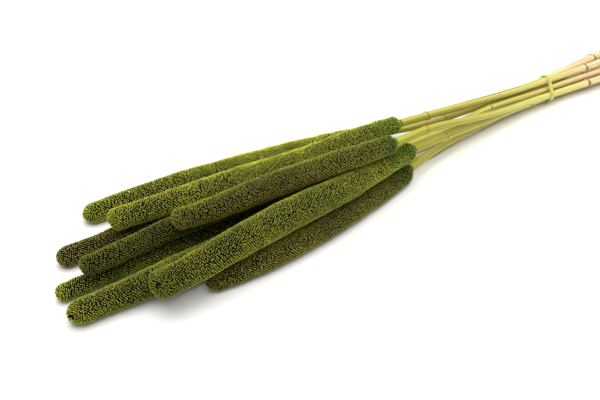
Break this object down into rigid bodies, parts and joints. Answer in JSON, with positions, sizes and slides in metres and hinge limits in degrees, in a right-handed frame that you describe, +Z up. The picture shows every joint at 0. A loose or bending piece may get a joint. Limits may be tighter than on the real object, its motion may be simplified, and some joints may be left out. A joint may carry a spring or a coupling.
{
  "type": "tied bunch of dried pearl millet stalks",
  "caption": "Bunch of dried green seed spikes on long straw stems, gathered by one narrow tie and lying flat.",
  "frame": {"origin": "middle of the footprint, on the surface that the bunch lies on", "axes": "+X from the spikes' tips to the cut ends of the stems, +Z up"},
  "size_m": [0.6794, 0.148, 0.0614],
  "materials": {
    "green_spike": "dry, matt seed buds, yellow-green at their tips and near black between them",
    "olive_spike": "dry, matt seed buds, olive-brown at their tips and near black between them",
    "brown_spike": "dry, matt seed buds, dark brown with pale tips",
    "straw": "smooth dry straw with a low sheen and fine lengthways fibres, green by the spikes and pale beyond the tie",
    "tie": "smooth, narrow, pale yellow-green band"
  },
  "bodies": {
    "root": {"spike_1": "olive_spike", "spike_2": "green_spike", "spike_3": "green_spike", "spike_4": "brown_spike", "spike_5": "green_spike", "spike_6": "green_spike", "spike_7": "green_spike", "spike_8": "green_spike", "spike_9": "olive_spike", "stem_1": "straw", "stem_2": "straw", "stem_3": "straw", "stem_4": "straw", "stem_5": "straw", "stem_6": "straw", "stem_7": "straw", "stem_8": "straw", "stem_9": "straw", "tie": "tie"}
  },
  "joints": []
}
